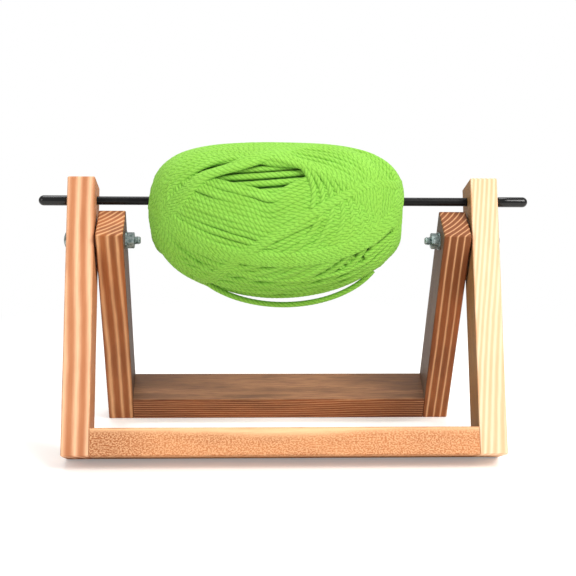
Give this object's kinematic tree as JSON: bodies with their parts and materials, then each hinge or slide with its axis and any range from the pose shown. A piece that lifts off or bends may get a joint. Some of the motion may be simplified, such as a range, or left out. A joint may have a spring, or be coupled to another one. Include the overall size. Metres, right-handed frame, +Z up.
{
  "type": "rotating yarn holder",
  "caption": "Folding timber A-frame stand with a removable rod across its top, on which a ball of yarn turns as the strand is drawn off.",
  "frame": {"origin": "on the floor, in the middle of the footprint and of the rod's length", "axes": "+X along the rod to the viewer's right, +Y to the back, +Z up"},
  "size_m": [0.3461, 0.152, 0.2137],
  "materials": {
    "scorched_pine": "satin",
    "pale_pine": "satin",
    "dowel_beech": "matte",
    "zinc_steel": "satin",
    "black_rod": "satin",
    "black_vinyl": "gloss",
    "green_yarn": "matte"
  },
  "bodies": {
    "front_frame": {"front_left_upright": "scorched_pine", "front_right_upright": "pale_pine", "front_crossbar": "scorched_pine", "front_joint_dowels": "dowel_beech", "left_pivot_bolt": "zinc_steel", "right_pivot_bolt": "zinc_steel", "left_spacer_washer": "zinc_steel", "right_spacer_washer": "zinc_steel", "left_nut_washer": "zinc_steel", "right_nut_washer": "zinc_steel", "left_pivot_nut": "zinc_steel", "right_pivot_nut": "zinc_steel"},
    "rear_frame": {"rear_left_upright": "scorched_pine", "rear_right_upright": "scorched_pine", "rear_crossbar": "scorched_pine", "rear_joint_dowels": "dowel_beech"},
    "yarn_ball": {"yarn_core": "green_yarn", "yarn_winding": "green_yarn", "loose_strand": "green_yarn"},
    "spindle": {"spindle_rod": "black_rod"},
    "left_cap": {"left_rod_cap": "black_vinyl"},
    "right_cap": {"right_rod_cap": "black_vinyl"}
  },
  "joints": [
    {"name": "fold", "type": "hinge", "parent": "front_frame", "child": "rear_frame", "pos_m": [0, -0.00579, 0.14566], "axis": [1, 0, 0], "range_deg": [-34, 90]},
    {"name": "ball_spin", "type": "hinge", "parent": "front_frame", "child": "yarn_ball", "pos_m": [0, 0.00483, 0.17222], "axis": [1, 0, 0], "continuous": true},
    {"name": "rod_draw", "type": "slide", "parent": "yarn_ball", "child": "spindle", "axis": [1, 0, 0], "range_m": [0, 0.322]},
    {"name": "left_cap_pull", "type": "slide", "parent": "yarn_ball", "child": "left_cap", "axis": [-1, 0, 0], "range_m": [0, 0.022]},
    {"name": "right_cap_pull", "type": "slide", "parent": "spindle", "child": "right_cap", "axis": [1, 0, 0], "range_m": [0, 0.022]}
  ]
}
